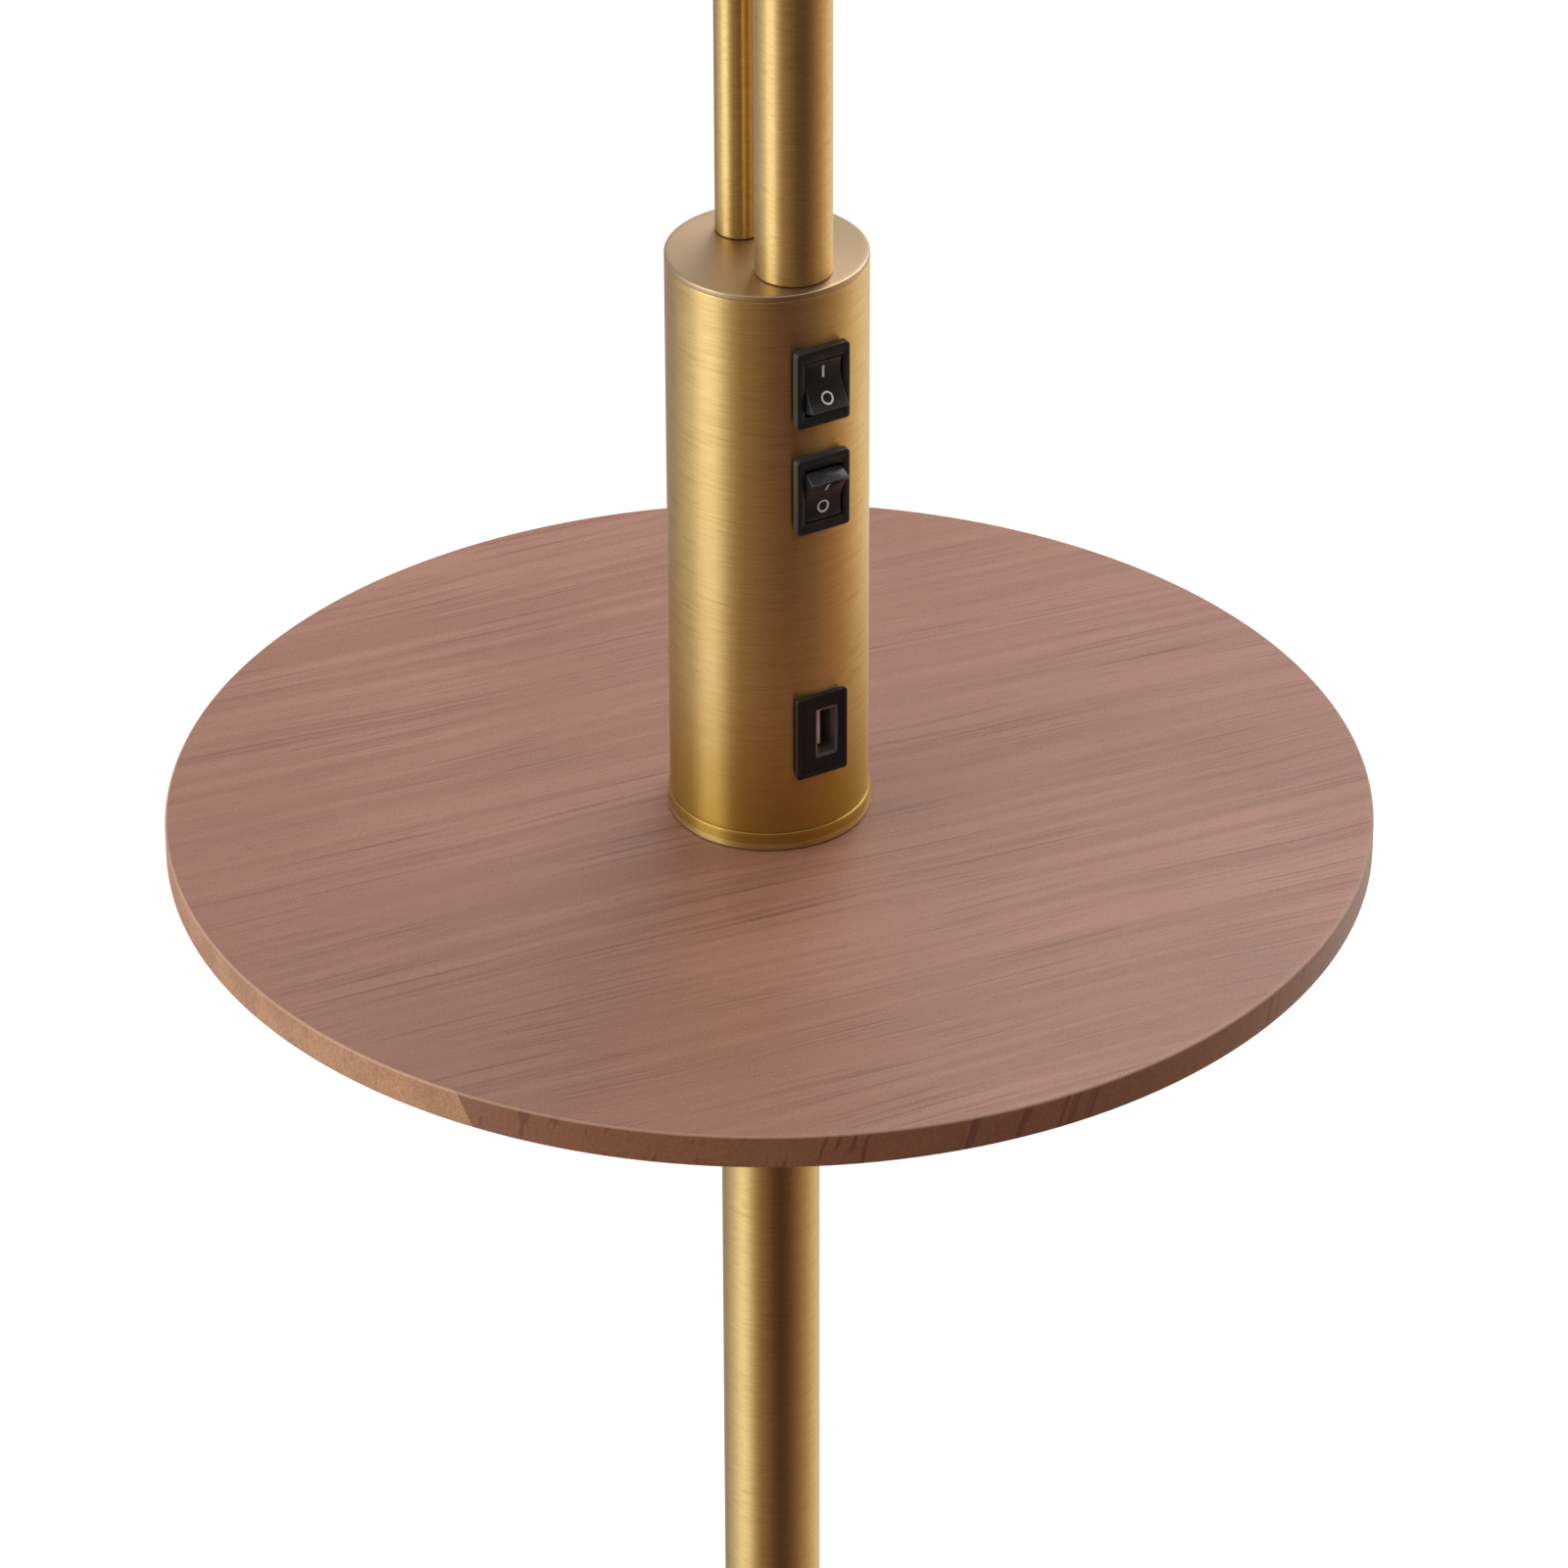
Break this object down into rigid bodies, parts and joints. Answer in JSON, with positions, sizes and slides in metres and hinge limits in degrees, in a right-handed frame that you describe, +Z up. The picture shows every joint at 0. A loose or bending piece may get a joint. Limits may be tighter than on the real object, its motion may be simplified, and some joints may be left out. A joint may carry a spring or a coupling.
{
  "type": "shelf floor lamp",
  "caption": "Brass floor lamp with a round wooden shelf, a switch and USB column, a drum shade and a swivelling reading light.",
  "frame": {"origin": "on the floor below the centre of the lower pole, at the middle of the floor pad's underside", "axes": "+Z up along the pole; the switches and the USB port face -Y; the reading arm points to +X at rest"},
  "size_m": [0.4224, 0.3608, 1.504],
  "materials": {
    "floor_pad": "thin felted rubber, dull",
    "iron_weight": "rough sand-cast iron under thin black paint",
    "brass": "antique brass brushed round each tube, satin lacquer",
    "zinc_steel": "zinc-plated, satin",
    "walnut": "reddish-brown walnut veneer with long fine grain, satin lacquer",
    "black_plastic": "glossy black moulding",
    "grey_plastic": "matt moulding",
    "white_plastic": "matt moulding",
    "phenolic": "black heat-proof moulding, semi-gloss",
    "contact_brass": "bright stamped brass",
    "nickel": "nickel-plated, bright",
    "opal_glass": "opal white glass, satin",
    "frame_wire": "white powder coat over steel wire",
    "shade_liner": "white translucent lining film, matt",
    "linen": "natural linen, plain weave with slubs",
    "linen_tape": "folded linen edge tape",
    "insulation": "white insulation"
  },
  "bodies": {
    "stand": {"floor_pad": "floor_pad", "base_weight": "iron_weight", "base_cover": "brass", "pole_collar": "brass", "pole_lower_tube": "brass", "pole_upper_tube": "brass", "shelf_flange": "brass", "column_ring": "brass", "column_shell": "brass", "column_cap": "brass", "main_lower_tube": "brass", "main_upper_tube": "brass", "socket_cup": "brass", "thin_pole": "brass", "thin_pole_head": "brass", "swivel_cap": "brass", "base_washer": "zinc_steel", "pole_plugs": "zinc_steel", "pole_coupler": "zinc_steel", "lock_nuts": "zinc_steel", "shelf_screws": "zinc_steel", "shell_screws": "zinc_steel", "tie_studs": "zinc_steel", "stud_nuts": "zinc_steel", "main_pole_plugs": "zinc_steel", "main_coupler": "zinc_steel", "thin_pole_foot": "zinc_steel", "shelf_board": "walnut", "cord_gland": "black_plastic", "upper_switch_housing": "black_plastic", "lower_switch_housing": "black_plastic", "usb_plate": "black_plastic", "shade_ring_nut": "black_plastic", "usb_case": "grey_plastic", "usb_jack_tongue": "white_plastic", "socket_body": "phenolic", "switch_terminals": "contact_brass", "socket_screw_shell": "contact_brass", "socket_contact": "contact_brass", "usb_jack_shell": "nickel", "bulb_cap": "nickel", "bulb_glass": "opal_glass", "shade_spider": "frame_wire", "shade_top_ring": "frame_wire", "shade_liner": "shade_liner", "shade_fabric": "linen", "shade_tape": "linen_tape", "wiring": "insulation"},
    "upper_rocker_body": {"upper_rocker": "black_plastic"},
    "lower_rocker_body": {"lower_rocker": "black_plastic"},
    "arm": {"swivel_hub": "brass", "reading_arm": "brass", "arm_clevis": "brass", "tilt_screw": "brass", "arm_lead": "insulation"},
    "head": {"head_stem": "brass", "reading_shade": "brass", "reading_socket": "phenolic", "small_bulb_cap": "nickel", "small_bulb_glass": "opal_glass"}
  },
  "joints": [
    {"name": "upper_switch", "type": "hinge", "parent": "stand", "child": "upper_rocker_body", "pos_m": [0, -0.02555, 0.7508], "axis": [1, 0, 0], "range_deg": [0, 36]},
    {"name": "lower_switch", "type": "hinge", "parent": "stand", "child": "lower_rocker_body", "pos_m": [0, -0.02555, 0.7213], "axis": [1, 0, 0], "range_deg": [-36, 0]},
    {"name": "arm_swivel", "type": "hinge", "parent": "stand", "child": "arm", "pos_m": [0, 0.0127, 1.1463], "axis": [0, 0, 1], "range_deg": [-45, 225]},
    {"name": "head_tilt", "type": "hinge", "parent": "arm", "child": "head", "pos_m": [0.2, 0.0127, 1.1463], "axis": [0, -1, 0], "range_deg": [-30, 100]}
  ]
}
